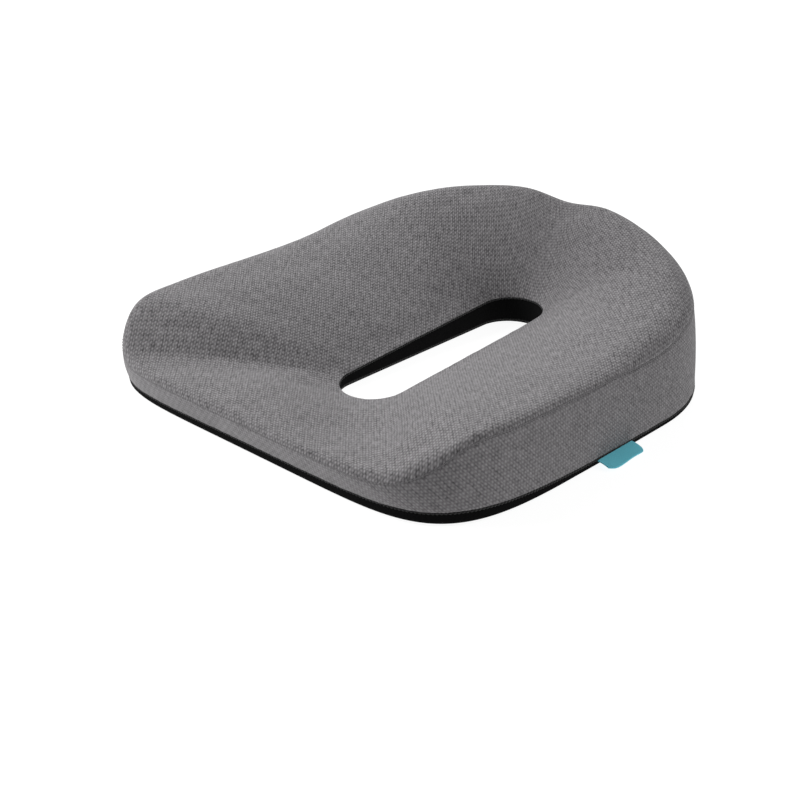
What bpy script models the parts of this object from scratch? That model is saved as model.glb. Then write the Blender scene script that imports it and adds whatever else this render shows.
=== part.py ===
"""Ring seat cushion with a tailbone slot, a zipped knit cover and a black base.

Metres, +Z up, front edge towards -Y.  Every shape is worked out about the cushion's
own middle plane, x = 0.  The empty that carries the objects then shifts them, so that
the origin lies on the floor under the middle of the overall box, label included.

The padded ring is described by a closed section that is carried round the slot.  The
place on the ring is an angle seen from above: 0 at the front, 90 at the right side,
180 at the back.  The place on the section is a number from 0 to 4:
    0 to 1  base, from the foot of the slot wall out to the base seam
    1 to 2  side band, from the base seam up to the upper seam
    2 to 3  top, from the upper seam over the crown and down to the slot's rim
    3 to 4  slot wall, from the rim down to its foot
"""
import math

import bmesh
import bpy
from mathutils import Vector

# Outline from above
HALF_WIDTH = 0.225
HALF_DEPTH = 0.226
WIDEST_Y = 0.058               # the outline is widest here
FRONT_SQUARENESS = 6.0         # superellipse exponents of the front and back halves
BACK_SQUARENESS = 2.33
SEAM_INSET = (-0.0035, 0.0065, 0.001)   # front, side, back, from the widest line
BASE_INSET = (0.007, -0.003, 0.005)

# Slot
SLOT_HALF_WIDTH = 0.0325
SLOT_FRONT_Y = -0.100
SLOT_BACK_Y = 0.156
SLOT_SIDE_ANGLES = (40.0, 120.0)     # ring angles between which the slot is straight
RIM_HEIGHT_FRONT = 0.0125
RIM_HEIGHT_BACK = 0.0285

# Heights round the ring: (ring angle, height), the same on both sides
UPPER_SEAM_HEIGHT = ((0, 0.0325), (20, 0.0325), (30, 0.0335), (36, 0.046), (42, 0.0645), (50, 0.0665),
                     (75, 0.066), (90, 0.065), (105, 0.076), (120, 0.080), (140, 0.079), (180, 0.080))
CROWN_HEIGHT = ((0, 0.0385), (20, 0.0385), (30, 0.0405), (36, 0.056), (42, 0.0705), (50, 0.0715),
                (75, 0.073), (90, 0.079), (105, 0.089), (120, 0.1055), (140, 0.118), (160, 0.1235),
                (180, 0.119))
SHOULDER_WIDTH = ((0, 0.010), (30, 0.0095), (45, 0.0095), (60, 0.013), (75, 0.020), (90, 0.024),
                  (105, 0.028), (120, 0.029), (140, 0.025), (160, 0.018), (180, 0.015))
BASE_SEAM_RIGHT = ((0, 0.0085), (30, 0.0095), (42, 0.0105), (55, 0.008), (66, 0.006), (90, 0.005),
                   (180, 0.005))
BASE_SEAM_LEFT = ((0, 0.0085), (20, 0.0075), (38, 0.006), (60, 0.005), (180, 0.005))
SLOPE_POWER = 1.45             # how quickly the inner slope rises from the rim
SHOULDER_SHARE = 0.35          # part of the top section that is the outer shoulder
BASE_EDGE_RADIUS = 0.004
BASE_UPRIGHT = 0.0025          # least upright stretch of the base fabric below its seam
SLOT_FOOT_RADIUS = 0.003
ROUND_SHARE = 0.2              # part of the base section that the foot and the outer edge each take
UPRIGHT_FROM = 0.94            # from this place on, the base's outer edge stands upright

# Cover and foam
KNIT_THICKNESS = 0.0025
LINING_THICKNESS = 0.0015
BASE_THICKNESS = 0.0020
RIM_CHAMFER = 0.0025           # the foam's edge is cut back under the rim seam
FIT_GAP = 0.0003
SEWN_GAP = 0.0004              # between a seam and the edges it joins
SEAM_HALF_WIDTH = 0.0012
SEAM_PROUD = 0.0004

# Zip in the back of the band, on a true arc about an upright axis
JOIN_ANGLE = 138.0             # ring angle of the upright seams at the zip's ends
ZIP_HEIGHT = 0.042
TAPE_HALF_WIDTH = 0.0060
TAPE_THICKNESS = 0.0008
TAPE_RECESS = 0.0006           # how far the tapes lie below the widest line
TAPE_END_GAP = 0.0022          # from a join seam's edge to the tapes' ends
COIL_WIDTH = 0.0024
COIL_HEIGHT = 0.0020
COIL_CHAMFER = 0.0006
STOP_LENGTH = 0.0030
STOP_PROUD = 0.0003            # a stop is this much thicker than the coil
STOP_OVERLAP = 0.0002          # and this much wider
SLIDER_LENGTH = 0.0120
SLIDER_PLATE = 0.0011
SLIDER_WALL = 0.0013
SLIDER_LIFT = 0.0001           # its flanges' feet clear the tape by a little more than the coil does
SLIDER_EDGE = 0.0003
SLIDER_END_ROOM = 0.0005       # left between the slider and a stop
BRIDGE_HALF_LENGTH = 0.0045
BRIDGE_HALF_WIDTH = 0.0009
BRIDGE_HEIGHT = 0.0026
BRIDGE_THICKNESS = 0.0010
BRIDGE_SLANT = 0.0015          # how far each leg leans in
BRIDGE_SINK = 0.0004           # how far the legs reach into the plate
BRIDGE_CORNER = 0.0006
PULL_LENGTH = 0.024
PULL_HALF_WIDTH = 0.0034
PULL_THICKNESS = 0.0010
PULL_WAIST_SHARE = 0.7         # width of the outer half, as a share of the inner half's
PULL_TIP_SHARE = 0.4
PULL_TIP_LENGTH = 0.0025
PULL_CORNER = 0.0006
PULL_HOLE_LENGTH = 0.0065
PULL_HOLE_HALF_WIDTH = 0.0014

# Label on the right side, sewn in at the base seam
LABEL_Y = -0.014
LABEL_WIDTH = 0.048
LABEL_REACH = 0.0165
LABEL_THICKNESS = 0.0014

RING_STEPS = 60
CORNER_FROM, CORNER_TO = 30.0, 48.0   # ring angles between which the stations are twice as close
BAND_ROWS = (1.25, 1.5, 1.75)  # places of the section where the facets meet
TOP_ROWS = (2.09, 2.18, 2.27, 2.35, 2.48, 2.61, 2.74, 2.87)
NORMAL_STEP_ANGLE = 0.5
NORMAL_STEP_SECTION = 0.002
UP = Vector((0.0, 0.0, 1.0))


# ---------------------------------------------------------------- outlines and heights
def value_at(table, angle):
    """Smooth value at an angle, level at both ends of the table."""
    folded = abs((angle + 180.0) % 360.0 - 180.0)
    last = len(table) - 1
    start = max(i for i in range(last) if table[i][0] <= folded or i == 0)

    def slope(i):
        if i == 0 or i == last:
            return 0.0
        return (table[i + 1][1] - table[i - 1][1]) / (table[i + 1][0] - table[i - 1][0])

    (a0, v0), (a1, v1) = table[start], table[start + 1]
    span = a1 - a0
    t = (folded - a0) / span
    return (v0 * (2 * t ** 3 - 3 * t ** 2 + 1) + v1 * (3 * t ** 2 - 2 * t ** 3)
            + slope(start) * span * (t ** 3 - 2 * t ** 2 + t)
            + slope(start + 1) * span * (t ** 3 - t ** 2))


def outline(angle, inset=(0.0, 0.0, 0.0)):
    """Point of the plan outline in the direction of the ring angle."""
    across, along = math.sin(math.radians(angle)), -math.cos(math.radians(angle))
    front, side, back = inset
    if along < 0.0:
        power, reach = FRONT_SQUARENESS, HALF_DEPTH + WIDEST_Y - front
    else:
        power, reach = BACK_SQUARENESS, HALF_DEPTH - WIDEST_Y - back
    half_width = HALF_WIDTH - side
    radius = (abs(across / half_width) ** power + abs(along / reach) ** power) ** (-1.0 / power)
    return Vector((radius * across, WIDEST_Y + radius * along, 0.0))


def slot_outline(angle):
    """Point of the slot's outline that faces the ring angle: straight sides, round ends."""
    signed = (angle + 180.0) % 360.0 - 180.0
    folded, side = abs(signed), math.copysign(1.0, signed)
    first, second = SLOT_SIDE_ANGLES
    front_centre = SLOT_FRONT_Y + SLOT_HALF_WIDTH
    back_centre = SLOT_BACK_Y - SLOT_HALF_WIDTH
    if folded < first:
        turn = math.radians(90.0 * folded / first)
        return Vector((side * SLOT_HALF_WIDTH * math.sin(turn),
                       front_centre - SLOT_HALF_WIDTH * math.cos(turn), 0.0))
    if folded > second:
        turn = math.radians(90.0 * (180.0 - folded) / (180.0 - second))
        return Vector((side * SLOT_HALF_WIDTH * math.sin(turn),
                       back_centre + SLOT_HALF_WIDTH * math.cos(turn), 0.0))
    share = (folded - first) / (second - first)
    return Vector((side * SLOT_HALF_WIDTH, front_centre + (back_centre - front_centre) * share, 0.0))


def rim_height(angle):
    share = (slot_outline(angle).y - SLOT_FRONT_Y) / (SLOT_BACK_Y - SLOT_FRONT_Y)
    return RIM_HEIGHT_FRONT + (RIM_HEIGHT_BACK - RIM_HEIGHT_FRONT) * share


def base_seam_height(angle):
    on_right = (angle + 180.0) % 360.0 >= 180.0
    return value_at(BASE_SEAM_RIGHT if on_right else BASE_SEAM_LEFT, angle)


# ---------------------------------------------------------------- the ring's section
def base_point(angle, share):
    inner, outer = slot_outline(angle), outline(angle, BASE_INSET)
    across = (outer - inner).normalized()
    head = base_seam_height(angle)
    radius = min(BASE_EDGE_RADIUS, head - BASE_UPRIGHT)
    if share < ROUND_SHARE:
        turn = math.radians(90.0 * share / ROUND_SHARE)
        return (inner + across * SLOT_FOOT_RADIUS * (1.0 - math.cos(turn))
                + UP * SLOT_FOOT_RADIUS * (1.0 - math.sin(turn)))
    if share > UPRIGHT_FROM:
        return outer + UP * (radius + (head - radius) * (share - UPRIGHT_FROM) / (1.0 - UPRIGHT_FROM))
    if share > 1.0 - ROUND_SHARE:
        turn = math.radians(90.0 * (share - 1.0 + ROUND_SHARE) / (UPRIGHT_FROM - 1.0 + ROUND_SHARE))
        return outer - across * radius * (1.0 - math.sin(turn)) + UP * radius * (1.0 - math.cos(turn))
    flat_share = (share - ROUND_SHARE) / (1.0 - 2.0 * ROUND_SHARE)
    return (inner + across * SLOT_FOOT_RADIUS).lerp(outer - across * radius, flat_share)


def band_point(angle, share):
    low, middle, high = outline(angle, BASE_INSET), outline(angle), outline(angle, SEAM_INSET)
    plan = (low * (1.0 - share) * (1.0 - 2.0 * share) + middle * 4.0 * share * (1.0 - share)
            + high * share * (2.0 * share - 1.0))
    foot = base_seam_height(angle)
    return plan + UP * (foot + (value_at(UPPER_SEAM_HEIGHT, angle) - foot) * share)


def top_point(angle, share):
    inner, outer = slot_outline(angle), outline(angle, SEAM_INSET)
    seam, crown = value_at(UPPER_SEAM_HEIGHT, angle), value_at(CROWN_HEIGHT, angle)
    width = value_at(SHOULDER_WIDTH, angle)
    ridge = outer - (outer - inner).normalized() * width
    if share < SHOULDER_SHARE:
        turn = math.radians(90.0 * (1.0 - share / SHOULDER_SHARE))
        return ridge.lerp(outer, math.sin(turn)) + UP * (seam + (crown - seam) * math.cos(turn))
    climb = 1.0 - (share - SHOULDER_SHARE) / (1.0 - SHOULDER_SHARE)
    rim = rim_height(angle)
    height = rim + (crown - rim) * (1.0 - (1.0 - climb) ** SLOPE_POWER)
    return inner.lerp(ridge, climb) + UP * height


def wall_point(angle, share):
    rim = rim_height(angle)
    return slot_outline(angle) + UP * (rim + (SLOT_FOOT_RADIUS - rim) * share)


def surface(angle, place):
    """Point of the finished outer surface."""
    place %= 4.0
    zone = int(place)
    return (base_point, band_point, top_point, wall_point)[zone](angle, place - zone)


def below(angle, place, depth):
    """Point a depth below the outer surface; a negative depth stands proud."""
    round_ring = surface(angle + NORMAL_STEP_ANGLE, place) - surface(angle - NORMAL_STEP_ANGLE, place)
    up_section = surface(angle, place + NORMAL_STEP_SECTION) - surface(angle, place - NORMAL_STEP_SECTION)
    inward = up_section.cross(round_ring).normalized()
    return surface(angle, place) + inward * depth


def moved(angle, place, distance):
    """Place on the section that lies a distance along it from another place."""
    step = math.copysign(NORMAL_STEP_SECTION, distance)
    start = surface(angle, place)
    speed = (surface(angle, place + step) - start).length / NORMAL_STEP_SECTION
    return place + distance / speed


# ---------------------------------------------------------------- making objects
def material(name, colour, roughness, metallic=0.0):
    made = bpy.data.materials.new(name)
    made.use_nodes = True
    shader = made.node_tree.nodes["Principled BSDF"]
    shader.inputs["Base Color"].default_value = (*colour, 1.0)
    shader.inputs["Roughness"].default_value = roughness
    shader.inputs["Metallic"].default_value = metallic
    return made


def knit_material():
    return material("grey_knit", (0.165, 0.162, 0.164), 0.9)


def black_material():
    return material("black_fabric", (0.006, 0.006, 0.006), 0.85)


def foam_material():
    return material("memory_foam", (0.80, 0.77, 0.68), 0.95)


def thread_material():
    return material("grey_thread", (0.14, 0.14, 0.14), 0.8)


def tape_material():
    return material("zip_tape", (0.015, 0.015, 0.015), 0.85)


def coil_material():
    return material("zip_coil", (0.02, 0.02, 0.02), 0.45)


def metal_material():
    return material("zip_metal", (0.05, 0.05, 0.052), 0.35, 0.9)


def label_material():
    return material("teal_label", (0.097, 0.352, 0.423), 0.75)


def add_object(name, mesh_source, finish, parent, sharp_angle=40.0):
    """Turn a bmesh into a named object that is shaded smooth and carries its material."""
    bmesh.ops.recalc_face_normals(mesh_source, faces=mesh_source.faces)
    mesh = bpy.data.meshes.new(name)
    mesh_source.to_mesh(mesh)
    mesh_source.free()
    mesh.materials.append(finish)
    mesh.shade_smooth()
    mesh.set_sharp_from_angle(angle=math.radians(sharp_angle))
    made = bpy.data.objects.new(name, mesh)
    made.parent = parent
    bpy.context.collection.objects.link(made)
    return made


def ring_angles(start=None, end=None):
    """Ring angles of the stations, closer at the front corners: all round, or a span."""
    inside = []
    for turn in (-360.0, 0.0):
        for i in range(RING_STEPS):
            angle = 360.0 * i / RING_STEPS
            inside.append(turn + angle)
            folded = min(angle, 360.0 - angle)
            corner_ahead = CORNER_FROM <= folded < CORNER_TO if angle < 180.0 else (
                CORNER_FROM < folded <= CORNER_TO)
            if corner_ahead:
                inside.append(turn + angle + 180.0 / RING_STEPS)
    if start is None:
        return [angle for angle in inside if angle >= 0.0]
    return [start, *[angle for angle in inside if start + 1.0 < angle < end - 1.0], end]


def loft(angles, profile_at, closed, outer_count):
    """Carry a closed profile round the ring.

    profile_at gives the profile's points at an angle.  The first outer_count points run up
    the section and the others run back, so their quads are cut along the other diagonal and
    every layer is faceted alike.
    """
    bm = bmesh.new()
    loops = [[bm.verts.new(point) for point in profile_at(angle)] for angle in angles]
    count = len(loops[0])
    pairs = list(zip(loops, loops[1:]))
    if closed:
        pairs.append((loops[-1], loops[0]))
    for here, there in pairs:
        for j in range(count):
            k = (j + 1) % count
            if j < outer_count - 1:
                bm.faces.new((here[j], here[k], there[k]))
                bm.faces.new((here[j], there[k], there[j]))
            else:
                bm.faces.new((here[j], here[k], there[j]))
                bm.faces.new((here[k], there[k], there[j]))
    if not closed:
        bm.faces.new(loops[0])
        bm.faces.new(reversed(loops[-1]))
    return bm


def panel(name, finish, parent, places, thickness, span=None):
    """Fabric panel between two places of the section, trimmed back for the seams."""
    trim = SEAM_HALF_WIDTH + SEWN_GAP

    def profile_at(angle):
        first, *inner, last = places(angle) if callable(places) else places
        rows = [moved(angle, first, trim), *inner, moved(angle, last, -trim)]
        return ([below(angle, row, 0.0) for row in rows]
                + [below(angle, row, thickness) for row in reversed(rows)])

    angles = ring_angles(*span) if span else ring_angles()
    rows_up = len(profile_at(angles[0])) // 2
    return add_object(name, loft(angles, profile_at, span is None, rows_up), finish, parent)


def ring_seam(name, finish, parent, place, depth):
    """Sewn seam all the way round the ring at one place of the section."""
    def profile_at(angle):
        low, high = moved(angle, place, -SEAM_HALF_WIDTH), moved(angle, place, SEAM_HALF_WIDTH)
        return [below(angle, low, -SEAM_PROUD), below(angle, high, -SEAM_PROUD),
                below(angle, high, depth), below(angle, low, depth)]

    return add_object(name, loft(ring_angles(), profile_at, True, 2), finish, parent)


# ---------------------------------------------------------------- foam, cover and seams
def foam_core(parent):
    base_depth, knit_depth = BASE_THICKNESS + FIT_GAP, KNIT_THICKNESS + FIT_GAP
    lining_depth = LINING_THICKNESS + FIT_GAP
    base_rows = [(place, base_depth) for place in (0.0, 0.1, 0.2, 0.5, 0.8, 0.87, 0.94)]
    band_rows = [(place, knit_depth + FIT_GAP) for place in (1.0, *BAND_ROWS)]
    top_rows = [(place, knit_depth) for place in (2.0, *TOP_ROWS)]
    rows = base_rows + band_rows + top_rows

    def profile_at(angle):
        before_rim = moved(angle, 3.0, -RIM_CHAMFER), knit_depth
        after_rim = moved(angle, 3.0, RIM_CHAMFER), lining_depth
        all_rows = [*rows, before_rim, after_rim, (3.7, lining_depth)]
        return [below(angle, place, depth) for place, depth in all_rows]

    bm = loft(ring_angles(), profile_at, True, len(rows) + 4)
    return add_object("foam_core", bm, foam_material(), parent)


def cover(parent):
    knit, black, thread = knit_material(), black_material(), thread_material()
    panel("top_panel", knit, parent, (2.0, *TOP_ROWS, 3.0), KNIT_THICKNESS)
    half_seam = join_half_angle()
    panel("side_band", knit, parent, (1.0, *BAND_ROWS, 2.0), KNIT_THICKNESS,
          (-JOIN_ANGLE + half_seam, JOIN_ANGLE - half_seam))
    panel("slot_lining", black, parent, (3.0, 3.5, 4.0), LINING_THICKNESS)
    panel("base_panel", black, parent, (0.0, 0.13, 0.2, 0.5, 0.8, 0.87, 0.94, 1.0), BASE_THICKNESS)
    ring_seam("upper_seam", thread, parent, 2.0, KNIT_THICKNESS)
    ring_seam("base_seam", black, parent, 1.0, BASE_THICKNESS)
    ring_seam("slot_rim_seam", black, parent, 3.0, LINING_THICKNESS)
    ring_seam("slot_base_seam", black, parent, 4.0, LINING_THICKNESS)


def join_half_angle():
    """Half the ring angle that an upright join seam and its two gaps take."""
    radius = (outline(JOIN_ANGLE) - Vector((0.0, WIDEST_Y, 0.0))).length
    return math.degrees((SEAM_HALF_WIDTH + SEWN_GAP) / radius)


def rear_band(parent):
    """The two strips above and below the zip, and the upright seams at its ends."""
    knit, thread = knit_material(), thread_material()
    trim = SEAM_HALF_WIDTH + SEWN_GAP
    half_opening = TAPE_HALF_WIDTH + FIT_GAP - trim

    def place_at_height(angle, height):
        foot, head = base_seam_height(angle), value_at(UPPER_SEAM_HEIGHT, angle)
        return 1.0 + (height - foot) / (head - foot)

    def upper_places(angle):
        edge = place_at_height(angle, ZIP_HEIGHT + half_opening)
        return edge, 0.5 * (edge + 2.0), 2.0

    def lower_places(angle):
        edge = place_at_height(angle, ZIP_HEIGHT - half_opening)
        return 1.0, 0.5 * (edge + 1.0), edge

    half_seam = join_half_angle()
    rear_span = (JOIN_ANGLE + half_seam, 360.0 - JOIN_ANGLE - half_seam)
    panel("band_upper_strip", knit, parent, upper_places, KNIT_THICKNESS, rear_span)
    panel("band_lower_strip", knit, parent, lower_places, KNIT_THICKNESS, rear_span)

    def seam_profile(angle):
        rows = [moved(angle, 1.0, trim), *BAND_ROWS, moved(angle, 2.0, -trim)]
        return ([below(angle, row, -SEAM_PROUD) for row in rows]
                + [below(angle, row, KNIT_THICKNESS) for row in reversed(rows)])

    half_width = half_seam * SEAM_HALF_WIDTH / trim
    for side, word in ((-1.0, "left"), (1.0, "right")):
        angles = (side * JOIN_ANGLE - half_width, side * JOIN_ANGLE + half_width)
        seam_mesh = loft(angles, seam_profile, False, len(BAND_ROWS) + 2)
        add_object(f"band_join_seam_{word}", seam_mesh, thread, parent)


# ---------------------------------------------------------------- zip
def zip_arc():
    """Centre and radius of the zip's arc, through the band's back centre and join seams."""
    back, join = outline(180.0), outline(JOIN_ANGLE)
    drop = back.y - join.y
    radius = (join.x ** 2 + drop ** 2) / (2.0 * drop)
    return Vector((0.0, back.y - radius, ZIP_HEIGHT)), radius - TAPE_RECESS


def tape_end_angle():
    """Angle from the back centre to the end of the tapes, clear of the join seams."""
    centre, radius = zip_arc()
    return math.asin(outline(JOIN_ANGLE).x / radius) - (SEAM_HALF_WIDTH + TAPE_END_GAP) / radius


def arc_bar(name, finish, parent, profile, half_angle, steps, centre_angle=0.0):
    """Bar that follows the zip's arc.  profile lists (outward, upward) from the tape's face."""
    centre, radius = zip_arc()
    bm = bmesh.new()
    start = centre_angle - half_angle
    verts = [bm.verts.new(centre + Vector(((radius + out) * math.sin(start),
                                           (radius + out) * math.cos(start), height)))
             for out, height in profile]
    edges = [bm.edges.new((a, b)) for a, b in zip(verts, verts[1:] + verts[:1])]
    bmesh.ops.spin(bm, geom=verts + edges, cent=centre, axis=UP, angle=-2.0 * half_angle, steps=steps)
    bmesh.ops.holes_fill(bm, edges=[edge for edge in bm.edges if edge.is_boundary])
    return add_object(name, bm, finish, parent)


def zip_chain(parent):
    """Tapes, coil rows and end stops."""
    tape, coil, metal = tape_material(), coil_material(), metal_material()
    radius = zip_arc()[1]
    end = tape_end_angle()
    coil_end = end - (STOP_LENGTH + FIT_GAP) / radius
    inner = FIT_GAP / 2.0
    for side, word in ((1.0, "upper"), (-1.0, "lower")):
        strip = [(0.0, side * inner), (0.0, side * TAPE_HALF_WIDTH),
                 (-TAPE_THICKNESS, side * TAPE_HALF_WIDTH), (-TAPE_THICKNESS, side * inner)]
        arc_bar(f"zip_tape_{word}", tape, parent, strip, end, 18)
        low, high = inner, inner + COIL_WIDTH
        foot, head = FIT_GAP, FIT_GAP + COIL_HEIGHT
        row = [(foot, side * low), (foot, side * high), (head - COIL_CHAMFER, side * high),
               (head, side * (high - COIL_CHAMFER)), (head, side * low)]
        arc_bar(f"zip_coil_{word}", coil, parent, row, coil_end, 18)
    half_stop = 0.5 * STOP_LENGTH / radius
    head, width = FIT_GAP + COIL_HEIGHT + STOP_PROUD, inner + COIL_WIDTH + STOP_OVERLAP
    block = [(FIT_GAP, -width), (FIT_GAP, width), (head, width), (head, -width)]
    for side, word in ((-1.0, "left"), (1.0, "right")):
        arc_bar(f"zip_stop_{word}", metal, parent, block, half_stop, 1, side * (end - half_stop))


def extrude_outline(points, low, high, to_vector):
    """Prism from an outline; to_vector turns (first, second, height) into a vertex."""
    bm = bmesh.new()
    verts = [bm.verts.new(to_vector(a, b, low)) for a, b in points]
    face = bm.faces.new(verts)
    made = bmesh.ops.extrude_face_region(bm, geom=[face])
    lift = to_vector(0.0, 0.0, high) - to_vector(0.0, 0.0, low)
    moved_verts = [item for item in made["geom"] if isinstance(item, bmesh.types.BMVert)]
    bmesh.ops.translate(bm, verts=moved_verts, vec=lift)
    return bm


def soften(target, width):
    bevel = target.modifiers.new("soft_edges", "BEVEL")
    bevel.width = width
    bevel.segments = 1
    bevel.limit_method = "ANGLE"


def boolean(target, other, operation):
    """Boolean with a hidden helper object."""
    other.hide_render = True
    other.display_type = "WIRE"
    cut = target.modifiers.new(other.name, "BOOLEAN")
    cut.operation = operation
    cut.solver = "EXACT"
    cut.object = other


def slider_faces():
    """Distances outward from the tape's face: flange foot, plate underside, plate top."""
    plate = FIT_GAP + COIL_HEIGHT + FIT_GAP
    return FIT_GAP + SLIDER_LIFT, plate, plate + SLIDER_PLATE


def slider_rest_angle():
    radius = zip_arc()[1]
    room = STOP_LENGTH + FIT_GAP + 0.5 * SLIDER_LENGTH + SLIDER_END_ROOM
    return -(tape_end_angle() - room / radius)


def zip_slider(parent):
    """Channel-shaped slider over both coil rows, with a bridge for the pull.

    Its own x runs along the zip, y points outward and z up.
    """
    radius = zip_arc()[1]
    foot, plate, top = slider_faces()
    inner = FIT_GAP / 2.0 + COIL_WIDTH + FIT_GAP
    outer = inner + SLIDER_WALL
    channel = [(foot, -outer), (top, -outer), (top, outer), (foot, outer),
               (foot, inner), (plate, inner), (plate, -inner), (foot, -inner)]
    half = 0.5 * SLIDER_LENGTH
    body = extrude_outline(channel, -half, half, lambda out, up, along: Vector((along, out, up)))
    slider = add_object("zip_slider", body, metal_material(), parent)
    angle = slider_rest_angle()
    slider.location = Vector((radius * math.sin(angle), radius * math.cos(angle), ZIP_HEIGHT))
    slider.rotation_euler.z = -angle
    soften(slider, SLIDER_EDGE)

    leg, top_leg = BRIDGE_HALF_LENGTH, BRIDGE_HALF_LENGTH - BRIDGE_SLANT
    sink, thick, rise = BRIDGE_SINK, BRIDGE_THICKNESS, BRIDGE_HEIGHT
    inner_leg = top_leg - BRIDGE_CORNER
    arch = [(-leg, -sink), (-top_leg, rise), (top_leg, rise), (leg, -sink),
            (leg - thick, -sink), (inner_leg, rise - thick), (-inner_leg, rise - thick),
            (thick - leg, -sink)]
    bridge_mesh = extrude_outline(arch, -BRIDGE_HALF_WIDTH, BRIDGE_HALF_WIDTH,
                                  lambda along, out, up: Vector((along, top + out, up)))
    bridge = add_object("slider_bridge_helper", bridge_mesh, metal_material(), slider)
    boolean(slider, bridge, "UNION")
    return slider


def zip_pull(parent):
    """Flat pull tab with a hole for the bridge, turning on its own end bar.

    Its origin is on the hinge axis, which stands upright under the bridge.
    """
    radius = zip_arc()[1]
    hinge_out = slider_faces()[2] + FIT_GAP + 0.5 * PULL_THICKNESS
    angle = slider_rest_angle()
    wide, narrow = PULL_HALF_WIDTH, PULL_WAIST_SHARE * PULL_HALF_WIDTH
    start, waist = -0.5 * PULL_THICKNESS, 0.5 * PULL_LENGTH
    corner, neck, tip = PULL_CORNER, PULL_LENGTH - PULL_TIP_LENGTH, PULL_TIP_SHARE * narrow
    tab = [(start, corner - wide), (start, wide - corner), (start + corner, wide),
           (waist, narrow), (neck, narrow), (PULL_LENGTH, tip),
           (PULL_LENGTH, -tip), (neck, -narrow), (waist, -narrow), (start + corner, -wide)]
    half = 0.5 * PULL_THICKNESS
    pull_mesh = extrude_outline(tab, -half, half, lambda along, up, out: Vector((along, out, up)))
    pull = add_object("zip_pull", pull_mesh, metal_material(), parent)
    distance = radius + hinge_out
    pull.location = Vector((distance * math.sin(angle), distance * math.cos(angle), ZIP_HEIGHT))
    pull.rotation_euler.z = -angle

    bar, side = 0.5 * PULL_THICKNESS, PULL_HOLE_HALF_WIDTH
    hole = [(bar, -side), (bar + PULL_HOLE_LENGTH, -side), (bar + PULL_HOLE_LENGTH, side), (bar, side)]
    hole_mesh = extrude_outline(hole, -PULL_HALF_WIDTH, PULL_HALF_WIDTH,
                                lambda along, up, out: Vector((along, out, up)))
    cutter = add_object("pull_hole_helper", hole_mesh, metal_material(), pull)
    boolean(pull, cutter, "DIFFERENCE")
    return pull


# ---------------------------------------------------------------- label
def label_angle():
    """Ring angle of the label's middle."""
    return math.degrees(math.atan2(HALF_WIDTH, WIDEST_Y - LABEL_Y))


def label_hinge():
    """Middle of the label's hinge line, just outside the base seam."""
    angle = label_angle()
    outward = SEAM_PROUD + FIT_GAP + 0.5 * LABEL_THICKNESS
    return Vector((outline(angle, BASE_INSET).x + outward, LABEL_Y, base_seam_height(angle)))


def side_label(parent):
    """Folded ribbon label: a strip with a rounded root on the hinge line, lying flat outward."""
    radius = 0.5 * LABEL_THICKNESS
    tip = LABEL_REACH - radius
    root_turns = [math.radians(90.0 + 180.0 * i / 6) for i in range(7)]
    tip_turns = [math.radians(-90.0 + 180.0 * i / 6) for i in range(7)]
    shape = [(radius * math.cos(turn), radius * math.sin(turn)) for turn in root_turns]
    shape += [(tip + radius * math.cos(turn), radius * math.sin(turn)) for turn in tip_turns]
    half = 0.5 * LABEL_WIDTH
    label_mesh = extrude_outline(shape, -half, half, lambda out, up, along: Vector((out, along, up)))
    label = add_object("side_tag", label_mesh, label_material(), parent)
    label.location = label_hinge()
    return label


def main():
    for old in list(bpy.data.objects):
        bpy.data.objects.remove(old, do_unlink=True)
    left_reach = HALF_WIDTH - BASE_INSET[1] + SEAM_PROUD
    label_overhang = label_hinge().x + LABEL_REACH - left_reach
    front_reach = HALF_DEPTH - SEAM_INSET[0] + 0.5 * SEAM_PROUD
    zip_overhang = HALF_DEPTH - TAPE_RECESS + FIT_GAP + COIL_HEIGHT - front_reach
    origin = bpy.data.objects.new("cushion_origin", None)
    origin.location = (-0.5 * label_overhang, -0.5 * zip_overhang, 0.0)
    bpy.context.collection.objects.link(origin)
    travel_axis = bpy.data.objects.new("zip_travel_axis", None)
    travel_axis.location = Vector((0.0, zip_arc()[0].y, 0.0))
    travel_axis.parent = origin
    bpy.context.collection.objects.link(travel_axis)

    foam_core(origin)
    cover(origin)
    rear_band(origin)
    zip_chain(origin)
    zip_slider(travel_axis)
    zip_pull(travel_axis)
    side_label(origin)


main()
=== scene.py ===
"""Looks of the ring seat cushion: knit cover, black base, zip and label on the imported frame.

Metres, +Z up, front edge towards -Y.  Shapes are worked out about the cushion's own middle
and then shifted by ORIGIN, which is read from the frame.

The place on the ring is an angle seen from above: 0 at the front, 90 at the right side,
180 at the back.  The place on the ring's section is a number from 0 to 4:
    0 to 1  base, from the foot of the slot wall out to the base seam
    1 to 2  side band, from the base seam up to the upper seam
    2 to 3  top, from the upper seam over the crown and down to the slot's rim
    3 to 4  slot wall, from the rim down to its foot
"""
import math

import bpy
import numpy as np
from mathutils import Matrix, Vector, noise


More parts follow.
